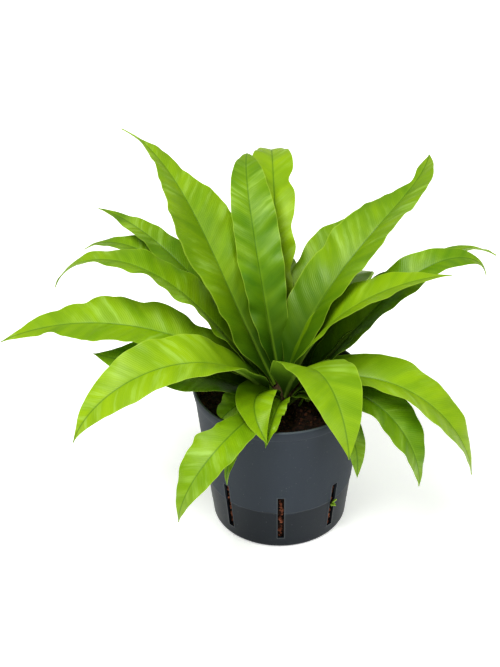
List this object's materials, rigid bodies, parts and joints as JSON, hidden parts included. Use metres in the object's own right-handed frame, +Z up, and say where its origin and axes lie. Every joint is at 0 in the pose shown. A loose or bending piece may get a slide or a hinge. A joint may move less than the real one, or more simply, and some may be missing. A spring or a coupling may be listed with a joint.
{
  "type": "potted fern",
  "caption": "Bird's nest fern with broad arching fronds that rise from a crown in a round slate-grey slotted nursery pot.",
  "frame": {"origin": "centre of the pot's underside, on the surface that the pot stands on", "axes": "+Z up along the pot's axis; -Y towards the front; +X to the right as seen from the front, along the plant's widest spread"},
  "size_m": [0.3651, 0.275, 0.2878],
  "materials": {
    "pot_plastic": "slate-grey moulded plastic with a soft satin sheen",
    "potting_mix": null,
    "crown_scales": null,
    "frond_leaf": null,
    "young_leaf": "pale green young leaf"
  },
  "bodies": {
    "root": {"pot": "pot_plastic", "substrate": "potting_mix", "crown": "crown_scales", "frond_tall_left": "frond_leaf", "frond_tall_centre": "frond_leaf", "frond_tall_back": "frond_leaf", "frond_tall_right": "frond_leaf", "frond_back_right": "frond_leaf", "frond_right_inner": "frond_leaf", "frond_right_upper": "frond_leaf", "frond_right_middle": "frond_leaf", "frond_right_broad": "frond_leaf", "frond_right_drooping": "frond_leaf", "frond_back_left": "frond_leaf", "frond_left_upper": "frond_leaf", "frond_left_middle": "frond_leaf", "frond_left_broad": "frond_leaf", "frond_left_front": "frond_leaf", "frond_left_low": "frond_leaf", "frond_front_right": "frond_leaf", "frond_front_left": "frond_leaf", "frond_front_small": "frond_leaf", "frond_front_low": "frond_leaf", "frond_front_young": "frond_leaf", "frond_right_young": "frond_leaf", "frond_left_young": "frond_leaf", "frond_low_back_right": "frond_leaf", "frond_low_back": "frond_leaf", "frond_low_back_left": "frond_leaf", "crozier_front": "young_leaf", "crozier_right": "young_leaf", "slot_seedling": "young_leaf"}
  },
  "joints": []
}
